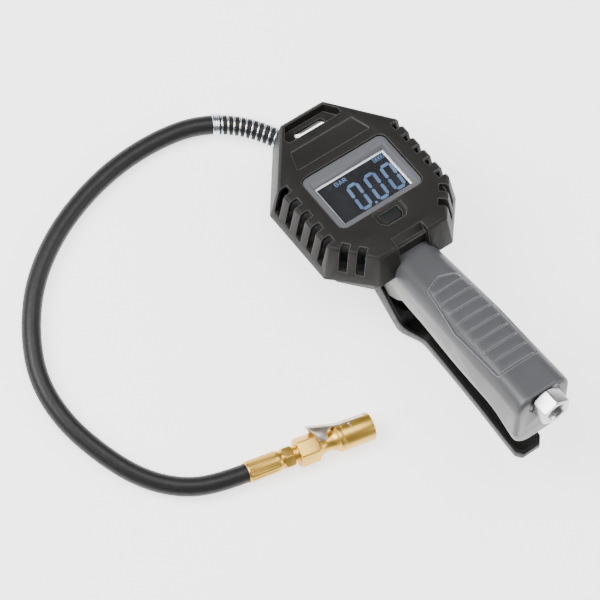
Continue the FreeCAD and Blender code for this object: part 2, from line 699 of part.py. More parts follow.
def thread_grooves(radius, first, pitch, count, depth=0.5):
    return [Part.makeTorus(radius + 0.1, depth, vec(0, 0, first + pitch * k)) for k in range(count)]


# The outlet is modelled along Z with the hose starting at 0 and the head behind it.

def outlet_union():
    collar = turned_edges(hexagon((0, 0, -7.0), (0, 0, 1), 15.0, 6.95), (0, 0, -7.0), (0, 0, 1), 8.4, 6.95)
    body = collar.fuse(rod((0, 0, -union_reach), (0, 0, 1), 5.0, union_reach - 7.0))
    return body.cut(rod((0, 0, -18.0), (0, 0, 1), 2.5, 16.0))


def outlet_seal():
    return rod((0, 0, -8.05), (0, 0, 1), 7.3, 1.0).cut(rod((0, 0, -9), (0, 0, 1), 5.05, 3))


def outlet_boss():
    return rod((0, 0, -13.0), (0, 0, 1), 8.9, 4.9)


def outlet_hole():
    """The bore for the union and the flat that its seal closes on."""
    bore = rod((0, 0, -union_reach - 0.1), (0, 0, 1), 5.05, union_reach)
    return bore.fuse(rod((0, 0, -8.08), (0, 0, 1), 9.3, 12.0))


def air_manifold():
    """The block in the head that joins the air tube to the outlet, in the tool's own axes."""
    block = box(1.6, 12.5, 37.0, 45.2, -45.3, -36.5)
    return block.cut(rod((7.2, 41.0, -40.0), (0, 0, 1), 2.0, 10))


# The chuck is modelled along Z from the hose's end at 0 to its mouth, with the clip on +X.

waist_start, waist_end, head_end, head_radius = 48.4, 62.6, 87.0, 9.15
mouth_radius, mouth_floor, seal_radius, seal_floor = 4.2, 73.0, 4.6, 70.0
clip_pivot_x, clip_pivot_s = 7.6, 72.0


def hose_ferrule():
    sleeve = round_bar([(0.02, 6.6), (0.6, 7.0), (21.5, 6.85), (23.5, 6.2)])
    marks = []
    for k in range(12):
        a = math.radians(30 * k)
        marks.append(rod((8.1 * math.cos(a), 8.1 * math.sin(a), 1.6), (0, 0, 1), 1.5, 18.5))
    return sleeve.cut(marks + [rod((0, 0, 2.0), (0, 0, 1), 3.45, 30)])


def hose_tail():
    stub = round_bar([(2.05, 3.4), (23.55, 3.4), (23.55, 5.2), (25.0, 5.2)])
    nut = turned_edges(hexagon((0, 0, 25.0), (0, 0, 1), 13.0, 6.6, 10.0), (0, 0, 25.0), (0, 0, 1), 7.3, 6.6)
    stem = round_bar([(31.6, 5.9), (42.0, 5.9), (43.0, 5.2)])
    tail = stub.fuse([nut, stem])
    return tail.cut(thread_grooves(5.9, 32.3, 1.0, 3) + [rod((0, 0, 1), (0, 0, 1), 2.4, 50)])


def chuck_waist():
    """The hollow-sided waist between the hexagon and the head."""
    start, end = vec(8.3, 0, waist_start), vec(8.8, 0, waist_end)
    middle = vec(5.7, 0, (waist_start + waist_end) / 2 + 0.3)
    edges = [Part.Arc(start, middle, end).toShape(), Part.makeLine(end, vec(0, 0, waist_end)),
             Part.makeLine(vec(0, 0, waist_end), vec(0, 0, waist_start)),
             Part.makeLine(vec(0, 0, waist_start), start)]
    return Part.Face(Part.Wire(edges)).revolve(vec(0, 0, 0), vec(0, 0, 1), 360)


def chuck_body():
    length = waist_start - 35.05
    nut = turned_edges(hexagon((0, 0, 35.05), (0, 0, 1), 17.0, length, 30.0), (0, 0, 35.05), (0, 0, 1),
                       9.6, length, 0.8)
    head = round_bar([(waist_end, head_radius - 0.35), (63.0, head_radius), (65.2, head_radius),
                      (65.5, 8.75), (66.2, 8.75), (66.5, head_radius), (86.6, head_radius),
                      (head_end, 8.75)])
    body = nut.fuse([chuck_waist(), head])
    cuts = [rod((0, 0, 34), (0, 0, 1), 5.95, 9.2), rod((0, 0, 40), (0, 0, 1), 2.5, 28.0),
            rod((0, 0, 60), (0, 0, 1), 0.95, 20),
            rod((0, 0, mouth_floor - 0.1), (0, 0, 1), mouth_radius, 20),
            rod((0, 0, seal_floor), (0, 0, 1), seal_radius, mouth_floor - seal_floor),
            Part.makeCone(mouth_radius, mouth_radius + 0.9, 0.9, vec(0, 0, head_end - 0.88)),
            box(4.9, 12, -2.8, 2.8, 60.4, 84.6), box(0.0, 12, -2.8, 2.8, 76.2, 84.6),
            rod((clip_pivot_x, -12, clip_pivot_s), (0, 1, 0), 1.02, 24)]
    return body.cut(cuts)


def chuck_seal():
    ring = rod((0, 0, seal_floor + 0.02), (0, 0, 1), seal_radius - 0.02, mouth_floor - seal_floor - 0.04)
    return ring.cut(rod((0, 0, 60), (0, 0, 1), 1.6, 30))


def chuck_depressor():
    pin = rod((0, 0, 60.5), (0, 0, 1), 0.9, 12.3)
    return pin.fuse(rod((0, 0, 65.6), (0, 0, 1), 2.0, 2.0))


def chuck_valve_spring():
    return coil((0, 0, 58.2), 1.65, 0.4, 1.1, 6.0)


def clip_strip(points, half):
    """A side view of (s, x) points, made solid from Y = -half to Y = half."""
    corners = [vec(x, -half, s) for s, x in points]
    return Part.Face(Part.makePolygon(corners + corners[:1])).extrude(vec(0, 2 * half, 0))


def chuck_clip():
    strap = clip_strip([(82.8, 4.25), (84.0, 4.25), (84.2, 8.9), (66.0, 9.3), (60.5, 10.4), (55.0, 12.2),
                        (54.7, 11.2), (60.2, 9.3), (64.2, 8.2), (64.4, 6.7), (68.5, 5.9), (75.2, 5.9),
                        (75.9, 7.6), (82.8, 7.6)], 2.5)
    lean = math.radians(16.0)
    axis = vec(math.sin(lean), 0, -math.cos(lean))
    start = vec(1.2, 0, 62.0)
    shell = Part.makeCylinder(8.6, 20.0, start, axis).cut(Part.makeCylinder(7.6, 24.0, start - axis, axis))
    shell = shell.cut(Part.makeBox(30, 30, 40, vec(-30 + 5.3, -15, 30)))
    blank = [(60.8, 2.5), (56.6, 5.4), (54.0, 9.0), (49.6, 8.4), (47.0, 6.0), (45.0, 3.0)]
    blank = [vec(0, y, s) for s, y in blank] + [vec(0, -y, s) for s, y in reversed(blank)]
    shell = shell.common(Part.Face(Part.makePolygon(blank + blank[:1])).extrude(vec(30, 0, 0)))
    clip = strap.fuse(shell)
    return clip.cut(rod((clip_pivot_x, -12, clip_pivot_s), (0, 1, 0), 1.0 + running_gap, 24))


def chuck_clip_pin():
    return rod((clip_pivot_x, -4.9, clip_pivot_s), (0, 1, 0), 1.0, 9.8)


def chuck_clip_spring():
    return clip_strip([(65.0, 4.95), (70.0, 4.95), (70.0, 5.25), (66.6, 5.25), (65.2, 5.9),
                       (65.0, 5.6)], 1.8)


def chuck_placement(points):
    """Put Z along the hose's last run and roll the clip over to the far side."""
    axis = (points[-1] - points[-2]).normalize()
    away = vec(-axis.y, axis.x, 0).normalize()
    roll = math.radians(chuck_roll)
    clip_side = away * math.sin(roll) + axis.cross(away) * math.cos(roll)
    return FreeCAD.Placement(points[-1], FreeCAD.Rotation(clip_side, axis.cross(clip_side), axis))


def outlet_placement(points):
    axis = points[1] - points[0]
    return FreeCAD.Placement(points[0], FreeCAD.Rotation(vec(0, 0, 1), vec(axis.x, axis.y, 0)))


# ---------------------------------------------------------------- whole tool

def tool_parts():
    neck = grip_solid(-0.3, 0.4, 0)
    outer, cavity = grip_outer(), grip_solid(grip_wall, 5.0, grip_wall)
    filled = grip_solid(grip_wall - 0.8, 2.0, grip_wall)
    return {
        "head_boot": head_boot(neck),
        "front_housing": front_housing(neck),
        "rear_housing": rear_housing(neck),
        "housing_screws": housing_screws(),
        "battery_cover": battery_cover(),
        "battery_1": battery(14.2),
        "battery_2": battery(25.8),
        "battery_contacts": battery_contacts(),
        "display_bezel": display_bezel(),
        "display_lens": display_lens(),
        "lcd_frame": lcd_frame(),
        "lcd_panel": lcd_panel(),
        "lcd_backlight": backlight(),
        "circuit_board": circuit_board(),
        "button_switch": switch(),
        "mode_button": mode_button(),
        "pressure_sensor": pressure_sensor(),
        "sensor_tube": sensor_tube(),
        "air_tube": air_tube(),
        "air_manifold": air_manifold(),
        "handle_upper_shell": handle_upper_shell(outer, cavity, filled),
        "handle_lower_shell": handle_lower_shell(outer, cavity, filled),
        "handle_screws": handle_screws(),
        "inlet_adaptor": inlet_adaptor(),
        "inlet_filter": inlet_filter(),
        "inlet_seal": inlet_seal(),
        "supply_pipe": supply_pipe(),
        "valve_block": valve_block(),
        "valve_stem": valve_stem(),
        "valve_seat_seal": valve_seat_seal(),
        "valve_spring": valve_spring(),
        "valve_cap": valve_cap(),
        "trigger_lever": trigger_lever(),
        "pivot_pin": pivot_pin(),
        "pivot_clips": pivot_clips(),
    }


def placed(shape, placement):
    shape = shape.copy()
    shape.Placement = placement.multiply(shape.Placement)
    return shape


def resting_placement(shapes):
    """Lay the tool on its back, touching the ground, centred over the origin."""
    turn = FreeCAD.Placement(vec(0, 0, 0), FreeCAD.Rotation(vec(1, 0, 0), -math.degrees(rest_tilt())))
    extent = FreeCAD.BoundBox()
    for shape in shapes:
        extent.add(placed(shape, turn).optimalBoundingBox(False, False))
    shift = vec(-extent.Center.x, -extent.Center.y, -extent.ZMin)
    return FreeCAD.Placement(shift, turn.Rotation)


def build():
    tool = tool_parts()
    rest = resting_placement(tool.values())
    parts = {name: placed(shape, rest) for name, shape in tool.items()}
    points = [vec(x + rest.Base.x, y + rest.Base.y, height) for x, y, height in hose_route]
    edges, radii = hose_edges(points)
    outlet, chuck = outlet_placement(points), chuck_placement(points)
    parts["rear_housing"] = parts["rear_housing"].fuse(placed(outlet_boss(), outlet))
    for name in ("rear_housing", "air_manifold"):
        parts[name] = parts[name].cut(placed(outlet_hole(), outlet))
    for name, make in (("outlet_union", outlet_union), ("outlet_seal", outlet_seal)):
        parts[name] = placed(make(), outlet)
    parts["head_boot"] = parts["head_boot"].cut(boot_arch(points))
    parts["spring_guard"] = spring_guard(edges)
    parts["hose"] = hose(edges)
    for make in (hose_ferrule, hose_tail, chuck_body, chuck_seal, chuck_depressor, chuck_valve_spring,
                 chuck_clip, chuck_clip_pin, chuck_clip_spring):
        parts[make.__name__] = placed(make(), chuck)
    return parts, rest, points, edges, radii


def main():
    os.makedirs("parts", exist_ok=True)
    parts, rest, _, edges, radii = build()
    for name, shape in parts.items():
        shape.exportStep("parts/" + name + ".step")
    length = sum(edge.Length for edge in edges)
    section = math.pi * hose_diameter ** 2 / 4
    print("rest tilt %.2f degrees, bezel middle at %s" % (math.degrees(rest_tilt()), tuple(rest.Base)))
    print("hose length %.1f, radii %s" % (length, [round(r) for r in radii]))
    print("hose volume / (section x length) %.4f" % (parts["hose"].Volume / (section * length)))
    for name, shape in parts.items():
        print("%-20s solids %d valid %s volume %.0f"
              % (name, len(shape.Solids), shape.isValid(), shape.Volume))


if __name__ == "__main__":
    main()
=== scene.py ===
import bpy
import json
import math
from mathutils import Matrix, Vector


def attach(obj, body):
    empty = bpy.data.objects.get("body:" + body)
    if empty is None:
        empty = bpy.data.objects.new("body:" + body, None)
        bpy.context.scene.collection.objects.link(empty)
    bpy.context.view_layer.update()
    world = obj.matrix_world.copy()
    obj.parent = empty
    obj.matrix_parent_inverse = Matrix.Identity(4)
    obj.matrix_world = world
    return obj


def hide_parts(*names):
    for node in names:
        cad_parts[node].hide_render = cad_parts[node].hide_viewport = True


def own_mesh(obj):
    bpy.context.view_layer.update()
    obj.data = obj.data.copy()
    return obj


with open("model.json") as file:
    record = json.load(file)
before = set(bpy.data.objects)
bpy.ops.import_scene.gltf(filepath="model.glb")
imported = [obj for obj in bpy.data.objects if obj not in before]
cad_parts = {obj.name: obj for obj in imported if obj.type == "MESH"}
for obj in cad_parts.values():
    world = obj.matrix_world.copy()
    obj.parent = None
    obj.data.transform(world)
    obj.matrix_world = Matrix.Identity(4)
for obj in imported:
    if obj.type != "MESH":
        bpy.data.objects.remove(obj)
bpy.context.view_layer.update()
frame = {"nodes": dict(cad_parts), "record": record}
nodes = frame["nodes"]
MM = 0.001

# ---------------------------------------------------------------- the tool's own axes
# The tool lies on its back.  Its own axes are X across the display, Y from the grip to the
# hanging loop and Z out of the display, with 0 at the middle of the display bezel's face.
# The air inlet's axis is the tool's -Y.  The two values say how far its mount lies from 0.

INLET_DOWN, INLET_BACK = 193.5, 13.0
mounts = {mount["name"]: mount for mount in frame["record"]["mounts"]}
inlet_axis = Vector(mounts["air_inlet"]["axis"])
tool_x = Vector((1, 0, 0))
tool_y = -inlet_axis.normalized()
tool_z = tool_x.cross(tool_y)
inlet_place = Vector(mounts["air_inlet"]["pos_m"])
face_middle = inlet_place + tool_y * INLET_DOWN * MM + tool_z * INLET_BACK * MM


def lay(x, y, z):
    """A point given in the tool's own axes, in millimetres, as it lies on the floor."""
    return face_middle + (tool_x * x + tool_y * y + tool_z * z) * MM


chuck_axis = Vector(mounts["chuck_mouth"]["axis"]).normalized()

# ---------------------------------------------------------------- camera

CAMERA_PLACE = (-0.614850, -0.163368, 1.724048)
CAMERA_LENS, CAMERA_SENSOR = 170.0, 36.0
camera = bpy.data.objects.new("camera", bpy.data.cameras.new("camera"))
bpy.context.scene.collection.objects.link(camera)
bpy.context.scene.camera = camera
camera.data.lens = CAMERA_LENS
camera.data.sensor_width = CAMERA_SENSOR
camera_right = Vector((0.81176958, -0.54864269, 0.20005338))
camera_up = Vector((0.49738312, 0.82907021, 0.25544594))
camera_back = camera_right.cross(camera_up)
camera_turn = Matrix((camera_right, camera_up, camera_back)).transposed().to_4x4()
camera.matrix_world = Matrix.Translation(CAMERA_PLACE) @ camera_turn

# ---------------------------------------------------------------- node and mesh helpers


def colour(code):
    """An sRGB hex colour as the linear colour that shaders use."""
    values = [int(code[i:i + 2], 16) / 255 for i in (0, 2, 4)]
    return tuple(v / 12.92 if v <= 0.04045 else ((v + 0.055) / 1.055) ** 2.4 for v in values) + (1.0,)


def add(tree, kind, links=None, **settings):
    """Add a shader node with its settings; links maps an input to a value or to another output."""
    item = tree.nodes.new("ShaderNode" + kind)
    for name, value in settings.items():
        setattr(item, name, value)
    for socket, value in (links or {}).items():
        if isinstance(value, bpy.types.NodeSocket):
            tree.links.new(value, item.inputs[socket])
        else:
            item.inputs[socket].default_value = value
    return item


def ramp(tree, factor, stops):
    """A colour ramp through (position, value) stops, where a value is a grey or a colour."""
    item = add(tree, "ValToRGB", {"Fac": factor})
    elements = item.color_ramp.elements
    while len(elements) < len(stops):
        elements.new(0.5)
    for element, (position, value) in zip(elements, stops):
        element.position = position
        element.color = value if isinstance(value, tuple) else (value, value, value, 1.0)
    return item.outputs["Color"]


def new_material(name):
    material = bpy.data.materials.new(name)
    material.use_nodes = True
    tree = material.node_tree
    shader = tree.nodes["Principled BSDF"]
    place = add(tree, "TexCoord").outputs["Object"]
    return material, tree, shader, place


def noise(tree, place, size_mm, detail=2.0, roughness=0.5):
    """Noise whose blotches are about size_mm across."""
    return add(tree, "TexNoise", {"Vector": place, "Scale": 1000.0 / size_mm, "Detail": detail,
                                  "Roughness": roughness}).outputs["Fac"]


def mix(tree, factor, a, b):
    return add(tree, "Mix", {0: factor, 6: a, 7: b}, data_type="RGBA").outputs[2]


def edge_mask(tree, radius_mm, low, high):
    """White along outside and inside edges, where the surface turns within radius_mm."""
    rounded = add(tree, "Bevel", {"Radius": radius_mm * MM}, samples=6).outputs["Normal"]
    flat = add(tree, "NewGeometry").outputs["Normal"]
    same = add(tree, "VectorMath", {0: rounded, 1: flat}, operation="DOT_PRODUCT").outputs["Value"]
    return rounded, ramp(tree, same, [(low, 1.0), (high, 0.0)])


def moulded(name, base, edge_highlight, roughness, grain_mm, grain_depth_mm, edge_mm=0.5, edge=0.8, patch=0.05,
            specular=0.5):
    """A moulded or coated part: spark-eroded grain, a painted highlight of paler colour along the edges
    and faint cloudiness.
    """
    material, tree, shader, place = new_material(name)
    cloud = noise(tree, place, 22.0, 3.0)
    speck = noise(tree, place, grain_mm * 2.5, 2.0)
    deep = tuple(v * (1.0 - patch) for v in colour(base)[:3]) + (1.0,)
    pale = tuple(min(1.0, v * (1.0 + patch)) for v in colour(base)[:3]) + (1.0,)
    tone = mix(tree, ramp(tree, cloud, [(0.35, 0.0), (0.65, 1.0)]), deep, pale)
    # A paler colour mixed in along outside and inside edges: a painted highlight.
    rounded, highlight_mask = edge_mask(tree, edge_mm, 0.80, 0.985)
    highlight_mask = add(tree, "Math", {0: highlight_mask, 1: edge}, operation="MULTIPLY").outputs[0]
    tone = mix(tree, highlight_mask, tone, colour(edge_highlight))
    tree.links.new(tone, shader.inputs["Base Color"])
    rough = ramp(tree, speck, [(0.3, max(0.0, roughness - 0.06)), (0.7, min(1.0, roughness + 0.06))])
    tree.links.new(rough, shader.inputs["Roughness"])
    grain = add(tree, "Bump", {"Height": noise(tree, place, grain_mm, 1.0), "Normal": rounded,
                               "Strength": 0.6, "Distance": grain_depth_mm * MM})
    tree.links.new(grain.outputs["Normal"], shader.inputs["Normal"])
    shader.inputs["Specular IOR Level"].default_value = specular
    return material


def turned_metal(name, base, dull, roughness, axis, line_mm, line_depth_mm, edge_mm=0.25, tarnish=0.5):
    """Metal cut on a lathe: fine rings round the axis, slight tarnish and bright, broken edges."""
    material, tree, shader, place = new_material(name)
    along = add(tree, "VectorMath", {0: place, 1: tuple(axis)}, operation="DOT_PRODUCT").outputs["Value"]
    rings = add(tree, "TexNoise", {"W": along, "Scale": 1000.0 / line_mm, "Detail": 3.0},
                noise_dimensions="1D").outputs["Fac"]
    stain = ramp(tree, noise(tree, place, 9.0, 4.0, 0.6), [(0.35, 0.0), (0.75, 1.0)])
    stain = add(tree, "Math", {0: stain, 1: tarnish}, operation="MULTIPLY").outputs[0]
    tree.links.new(mix(tree, stain, colour(base), colour(dull)), shader.inputs["Base Color"])
    rough = ramp(tree, rings, [(0.3, roughness * 0.92), (0.7, roughness * 1.1)])
    tree.links.new(rough, shader.inputs["Roughness"])
    rounded = add(tree, "Bevel", {"Radius": edge_mm * MM}, samples=6).outputs["Normal"]
    bump = add(tree, "Bump", {"Height": rings, "Normal": rounded, "Strength": 0.2,
                              "Distance": line_depth_mm * MM})
    tree.links.new(bump.outputs["Normal"], shader.inputs["Normal"])
    shader.inputs["Metallic"].default_value = 1.0
    return material


# ---------------------------------------------------------------- finishes

# Thermoplastic rubber, moulded: charcoal with a fine matt grain and a clear grey painted highlight along
# its edges.
boot_rubber = moulded("moulded thermoplastic rubber", "1D1C1A", "6A6664", 0.50, 0.35, 0.05, 1.0, 0.85,
                      specular=0.18)
button_rubber = moulded("silicone rubber key", "17191A", "3A3D3E", 0.55, 0.3, 0.03, 0.4, 0.6,
                        specular=0.18)
# ABS, moulded: a tight grain and a dull sheen, mid grey for the bezel and charcoal for the housings; the
# housings' charcoal is painted shade, since they show only through the boot's slots, where shade falls.
housing_painted_shade = moulded("moulded ABS darkened as painted shade", "2B2B2C", "5A5A5C", 0.42, 0.30, 0.03, 0.4, 0.5,
                      specular=0.35)
bezel_abs = moulded("satin moulded ABS bezel", "55565A", "8C8E94", 0.36, 0.25, 0.02, 0.5, 0.7,
                    specular=0.35)
# Nylon, moulded: the grip's upper half is darker, the lower half a warm pale grey.
grip_nylon = moulded("moulded nylon grip", "464749", "94959A", 0.34, 0.35, 0.03, 0.9, 1.0,
                     specular=0.35)
grip_lower_nylon = moulded("moulded nylon lower shell", "7C7C79", "AAAAA6", 0.40, 0.35, 0.03, 0.6, 0.6,
                           specular=0.35)
# Die-cast zinc with a satin black powder coat: slight orange peel and a brown-grey painted highlight along
# the edges.
lever_coat = moulded("powder coated die casting", "121110", "4B4642", 0.38, 1.1, 0.04, 0.7, 0.8,
                     specular=0.25)
sealing_rubber = moulded("nitrile sealing rubber", "111111", "222222", 0.6, 0.3, 0.02)
nylon_tube = moulded("extruded nylon tube", "131316", "2A2A30", 0.3, 0.8, 0.01)
board_mask = moulded("solder mask on fibreglass", "12401F", "2E6B3B", 0.3, 0.9, 0.01)
cell_wrap = moulded("shrink sleeve on a dry cell", "2A3350", "4A5578", 0.28, 1.0, 0.01)
light_guide = moulded("milky acrylic light guide", "DDE4EE", "FFFFFF", 0.3, 1.0, 0.01)
# Brass, turned from bar: warm yellow with a faint brown tarnish.
chuck_brass = turned_metal("turned brass bar", "DCB255", "B08A3C", 0.36, chuck_axis, 0.5, 0.003,
                           tarnish=0.35)
tool_brass = turned_metal("turned brass fittings", "E0BC63", "A07A33", 0.28, tool_z, 0.35, 0.02)
# Nickel-plated steel, pressed and tumbled: warm and satin.
clip_nickel = turned_metal("nickel plated pressing", "CFC4B6", "8C7A60", 0.34, chuck_axis, 2.0, 0.01)
# Aluminium bar, turned and degreased: pale grey with fine feed lines.
inlet_metal = turned_metal("turned aluminium hexagon bar", "BDBBBF", "96949A", 0.26, tool_y, 0.45, 0.02,
                           0.3, 0.35)
# Steel with bright zinc: slightly blue, tumbled dull.
zinc_steel = turned_metal("bright zinc plated steel", "D6DBE2", "8F959C", 0.26, tool_z, 0.8, 0.01)
spring_zinc = turned_metal("zinc plated spring wire", "E6EBF2", "9AA0A8", 0.20, tool_z, 1.5, 0.01)
# The pale strip that shows round the display glass: a polished steel frame, drawn matt, whose pale colour
# is a painted reflection.
painted_reflection_strip = moulded("pale strip round the display, painted reflection", "C4C8CE", "FFFFFF", 0.3, 1.0, 0.005)
sensor_metal = turned_metal("satin nickel sensor can", "BFC0C2", "8C8D90", 0.32, tool_z, 0.8, 0.01)


def extruded_rubber(name):
    """Air hose, extruded rubber: black, slightly waxy, with a fine uneven skin and faint bloom."""
    material, tree, shader, place = new_material(name)
    cloud = noise(tree, place, 30.0, 3.0)
    tone = mix(tree, cloud, colour("171616"), colour("222121"))
    bloom = ramp(tree, noise(tree, place, 3.0, 4.0, 0.7), [(0.55, 0.0), (0.9, 1.0)])
    bloom = add(tree, "Math", {0: bloom, 1: 0.25}, operation="MULTIPLY").outputs[0]
    tree.links.new(mix(tree, bloom, tone, colour("4A4848")), shader.inputs["Base Color"])
    rough = ramp(tree, noise(tree, place, 1.2, 3.0), [(0.3, 0.34), (0.7, 0.50)])
    tree.links.new(rough, shader.inputs["Roughness"])
    skin = add(tree, "Bump", {"Height": noise(tree, place, 0.8, 3.0), "Strength": 0.35,
                              "Distance": 0.03 * MM})
    tree.links.new(skin.outputs["Normal"], shader.inputs["Normal"])
    shader.inputs["Specular IOR Level"].default_value = 0.25
    return material


def dark_display():
    """Negative liquid crystal glass: nearly black, slightly blue in places, with a polished face."""
    material, tree, shader, place = new_material("negative liquid crystal glass")
    depth = ramp(tree, noise(tree, place, 26.0, 2.0), [(0.3, colour("0B0B0C")), (0.7, colour("15171B"))])
    tree.links.new(depth, shader.inputs["Base Color"])
    rough = ramp(tree, noise(tree, place, 5.0, 2.0), [(0.3, 0.10), (0.7, 0.20)])
    tree.links.new(rough, shader.inputs["Roughness"])
    shader.inputs["Specular IOR Level"].default_value = 0.15
    return material


def lit_segment():
    """Backlit segments: blue light through a filter, a little uneven."""
    material, tree, shader, place = new_material("backlit display segment")
    glow = ramp(tree, noise(tree, place, 12.0, 2.0), [(0.3, colour("6E8FC4")), (0.7, colour("8DAEE2"))])
    tree.links.new(glow, shader.inputs["Emission Color"])
    shader.inputs["Base Color"].default_value = colour("10161F")
    shader.inputs["Specular IOR Level"].default_value = 0.15
    shader.inputs["Emission Strength"].default_value = 0.72
    shader.inputs["Roughness"].default_value = 0.4
    return material


def clear_acrylic():
    """Cast acrylic window: colourless, polished, with a few faint rubbing marks."""
    material, tree, shader, place = new_material("clear cast acrylic")
    rub = ramp(tree, noise(tree, place, 6.0, 5.0, 0.7), [(0.5, 0.02), (0.85, 0.09)])
    tree.links.new(rub, shader.inputs["Roughness"])
    shader.inputs["Base Color"].default_value = (1, 1, 1, 1)
    shader.inputs["IOR"].default_value = 1.49
    shader.inputs["Transmission Weight"].default_value = 1.0
    shader.inputs["Specular IOR Level"].default_value = 0.15
    through = add(tree, "BsdfTransparent")
    shadow = add(tree, "LightPath").outputs["Is Shadow Ray"]
    both = add(tree, "MixShader", {0: shadow, 1: shader.outputs[0], 2: through.outputs[0]})
    tree.links.new(both.outputs[0], tree.nodes["Material Output"].inputs["Surface"])
    return material


hose_rubber = extruded_rubber("extruded rubber air hose")
display_glass = dark_display()
display_blue = lit_segment()
lens_acrylic = clear_acrylic()

# ---------------------------------------------------------------- CAD pieces that keep their shape
# node: (finish, width in mm of the soft edge that the mould or the tumbling leaves)

finishes = {
    "head_boot": (boot_rubber, 0.45), "front_housing": (housing_painted_shade, 0.3),
    "rear_housing": (housing_painted_shade, 0.4), "battery_cover": (housing_painted_shade, 0.3),
    "display_bezel": (bezel_abs, 0.3), "mode_button": (button_rubber, 0.2),
    "handle_upper_shell": (grip_nylon, 0.5), "handle_lower_shell": (grip_lower_nylon, 0.25),
    "trigger_lever": (lever_coat, 0.5), "housing_screws": (zinc_steel, 0.1),
    "handle_screws": (zinc_steel, 0.1), "pivot_pin": (zinc_steel, 0.0),
    "pivot_clips": (spring_zinc, 0.0), "inlet_adaptor": (inlet_metal, 0.15),
    "hose_ferrule": (chuck_brass, 0.15), "hose_tail": (chuck_brass, 0.12),
    "chuck_body": (chuck_brass, 0.15), "chuck_clip": (clip_nickel, 0.1),
    "chuck_clip_pin": (zinc_steel, 0.0), "chuck_clip_spring": (spring_zinc, 0.0),
    "chuck_depressor": (chuck_brass, 0.0), "chuck_valve_spring": (spring_zinc, 0.0),
    "chuck_seal": (sealing_rubber, 0.0), "display_lens": (lens_acrylic, 0.0),
    "lcd_frame": (painted_reflection_strip, 0.05), "lcd_panel": (display_glass, 0.0),
    "lcd_backlight": (light_guide, 0.0), "circuit_board": (board_mask, 0.0),
    "button_switch": (sealing_rubber, 0.0), "pressure_sensor": (sensor_metal, 0.1),
    "sensor_tube": (nylon_tube, 0.0), "air_tube": (nylon_tube, 0.0), "supply_pipe": (nylon_tube, 0.0),
    "air_manifold": (tool_brass, 0.1), "battery_1": (cell_wrap, 0.2), "battery_2": (cell_wrap, 0.2),
    "battery_contacts": (spring_zinc, 0.0), "inlet_filter": (tool_brass, 0.0),
    "inlet_seal": (sealing_rubber, 0.0), "valve_block": (sensor_metal, 0.1),
    "valve_stem": (tool_brass, 0.0), "valve_seat_seal": (sealing_rubber, 0.0),
    "valve_spring": (spring_zinc, 0.0), "valve_cap": (tool_brass, 0.1),
    "outlet_union": (tool_brass, 0.15), "outlet_seal": (sealing_rubber, 0.0),
}
SHARP = math.radians(28)
FLAT = math.radians(0.4)
WELD_GAP = 0.002 * MM


def dress(name, finish, soft_mm):
    """Give a CAD node its finish, and round its sharp edges by soft_mm."""
    piece = nodes[name]
    piece.data.materials.clear()
    piece.data.materials.append(finish)
    piece.data.shade_smooth()
    weld = piece.modifiers.new("weld", "WELD")
    weld.merge_threshold = WELD_GAP
    if soft_mm:
        flatten = piece.modifiers.new("flatten", "DECIMATE")
        flatten.decimate_type = "DISSOLVE"
        flatten.angle_limit = FLAT
        soft = piece.modifiers.new("soft edges", "BEVEL")
        soft.width = soft_mm * MM
        soft.segments = 2
        soft.limit_method = "ANGLE"
        soft.angle_limit = SHARP
        soft.use_clamp_overlap = True
    split = piece.modifiers.new("crease", "EDGE_SPLIT")
    split.split_angle = SHARP


for node_name, (finish, soft_mm) in finishes.items():
    dress(node_name, finish, soft_mm)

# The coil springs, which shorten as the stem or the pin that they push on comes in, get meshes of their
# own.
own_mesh(nodes["valve_spring"])
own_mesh(nodes["chuck_valve_spring"])

# ---------------------------------------------------------------- new pieces


def make_piece(name, vertices, faces, finish, body, slot, smooth=True):
    """A mesh piece with one finish; it rides on body, unless that is None."""
    mesh = bpy.data.meshes.new(name)
    mesh.from_pydata([tuple(v) for v in vertices], [], faces)
    mesh.validate()
    mesh.materials.append(finish)
    if smooth:
        mesh.shade_smooth()
    piece = bpy.data.objects.new(name, mesh)
    bpy.context.scene.collection.objects.link(piece)
    if body:
        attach(piece, body)
    return piece


def carried_frames(points):
    """A direction and two sideways directions at each point, turned as little as possible."""
    frames, side = [], None
    for k in range(len(points)):
        ahead = (points[min(k + 1, len(points) - 1)] - points[max(k - 1, 0)]).normalized()
        side = ahead.orthogonal() if side is None else side - ahead * side.dot(ahead)
        side.normalize()
        frames.append((ahead, side, ahead.cross(side)))
    return frames


def wire(points, radius, sides=10):
    """Vertices and faces of a round wire with rounded-off ends along points."""
    vertices, faces = [], []
    for point, (_, across, over) in zip(points, carried_frames(points)):
        for j in range(sides):
            a = math.tau * j / sides
            vertices.append(point + (across * math.cos(a) + over * math.sin(a)) * radius)
    for k in range(len(points) - 1):
        for j in range(sides):
            a, b = k * sides + j, k * sides + (j + 1) % sides
            faces.append((a, b, b + sides, a + sides))
    faces.append(tuple(reversed(range(sides))))
    faces.append(tuple(range(len(vertices) - sides, len(vertices))))
    return vertices, faces


# The hose's route in the plan of the lying tool, from the bezel's middle, and its height (mm).
hose_route = [
    (-1.5, 42.5, 9.4), (-12.5, 61.6, 9.4), (-29.5, 81.5, 8.5), (-53.0, 95.3, 7.4),
    (-80.5, 99.8, 6.7), (-111.5, 98.8, 6.4), (-142.5, 91.8, 6.4), (-173.0, 79.0, 6.4),
    (-200.0, 59.5, 6.4), (-219.5, 34.0, 6.4), (-231.5, 6.0, 6.4), (-232.0, -24.0, 6.4),
    (-224.1, -52.1, 6.4), (-212.3, -77.5, 6.4), (-195.9, -96.4, 7.4), (-175.1, -108.4, 9.5),
    (-152.5, -112.8, 9.5),
]
hose_points = [Vector((face_middle.x + x * MM, face_middle.y + y * MM, z * MM)) for x, y, z in hose_route]
HOSE_DIAMETER = 12.5 * MM
GUARD_DIAMETER = 15.0 * MM
GUARD_WIRE = 1.5 * MM
